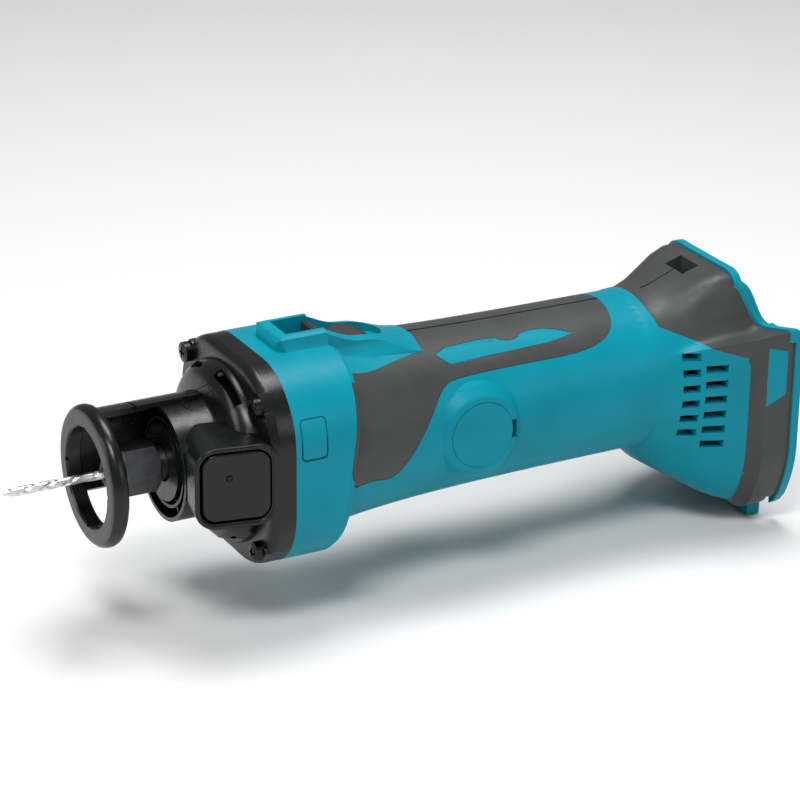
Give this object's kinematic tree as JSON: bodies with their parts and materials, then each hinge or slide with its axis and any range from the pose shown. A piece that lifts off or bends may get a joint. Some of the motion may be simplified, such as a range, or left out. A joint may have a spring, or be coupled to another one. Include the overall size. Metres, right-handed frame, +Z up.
{
  "type": "drywall cut-out tool",
  "caption": "Hand-held cordless cut-out tool for plasterboard: slim motor housing with battery foot, slide switch, shaft lock, collet with spiral bit and a sliding ring shoe.",
  "frame": {"origin": "centre of the shoe ring's front face, on the spindle axis", "axes": "+X back along the spindle axis towards the battery foot, -X out of the shoe face, +Z up to the slide switch, +Y to the side with the depth clamp lever"},
  "size_m": [0.3014, 0.079, 0.1027],
  "materials": {
    "teal_nylon": "satin moulded nylon",
    "grip_rubber": "soft moulded elastomer",
    "black_nylon": "moulded glass-filled nylon with a satin sheen",
    "knob_plastic": "moulded nylon",
    "black_screws": "black oxide",
    "zinc_screws": "zinc plated",
    "brass": "stamped",
    "carbon": "pressed carbon",
    "spring_steel": "plain spring steel",
    "yoke_steel": "rolled steel",
    "ferrite": "sintered",
    "core_steel": "stacked laminations",
    "copper": "copper",
    "bearing_steel": "ground",
    "black_oxide": "black oxide",
    "bit_steel": "ground bright"
  },
  "bodies": {
    "housing": {"housing_left": "teal_nylon", "housing_right": "teal_nylon", "grip_left": "grip_rubber", "grip_right": "grip_rubber", "foot_grip_left": "grip_rubber", "foot_grip_right": "grip_rubber", "front_housing": "black_nylon", "flange_screws": "black_screws", "housing_screws": "zinc_screws", "brush_cover_left": "teal_nylon", "brush_cover_right": "teal_nylon", "brush_cap_left": "black_nylon", "brush_cap_right": "black_nylon", "brush_holder_left": "brass", "brush_holder_right": "brass", "carbon_brush_left": "carbon", "carbon_brush_right": "carbon", "brush_spring_left": "spring_steel", "brush_spring_right": "spring_steel", "motor_yoke": "yoke_steel", "field_magnets": "ferrite", "fan_baffle": "black_nylon", "front_bearing": "bearing_steel", "rear_bearing": "bearing_steel", "bearing_retainer": "yoke_steel", "bearing_boot": "grip_rubber", "switch_body": "black_nylon", "lock_spring": "spring_steel", "lever_pin": "spring_steel", "clamp_plate": "spring_steel", "terminal_block": "black_nylon", "terminal_blades": "brass"},
    "rotor": {"spindle": "black_oxide", "armature_core": "core_steel", "armature_windings": "copper", "commutator": "copper", "cooling_fan": "black_nylon", "lock_collar": "yoke_steel", "collet": "black_oxide", "collet_nut": "black_oxide", "cutting_bit": "bit_steel"},
    "switch": {"switch_knob": "knob_plastic", "switch_link": "black_nylon", "switch_slider": "black_nylon"},
    "lock": {"lock_button": "black_nylon", "lock_pin": "bearing_steel"},
    "shoe": {"shoe": "black_nylon"},
    "lever": {"clamp_lever": "black_nylon"}
  },
  "joints": [
    {"name": "spindle_spin", "type": "hinge", "parent": "housing", "child": "rotor", "pos_m": [0, 0, 0], "axis": [1, 0, 0], "continuous": true},
    {"name": "shoe_slide", "type": "slide", "parent": "housing", "child": "shoe", "axis": [-1, 0, 0], "range_m": [0, 0.014]},
    {"name": "lock_press", "type": "slide", "parent": "housing", "child": "lock", "axis": [0, 1, 0], "range_m": [0, 0.0035], "stiffness_N_per_m": 1000, "springref_m": -0.003, "deforming": ["lock_spring"]},
    {"name": "switch_slide", "type": "slide", "parent": "housing", "child": "switch", "axis": [-1, 0, 0], "range_m": [0, 0.01]},
    {"name": "lever_turn", "type": "hinge", "parent": "housing", "child": "lever", "pos_m": [0.034, 0.0274, 0], "axis": [0, 0, -1], "range_deg": [0, 90]}
  ]
}
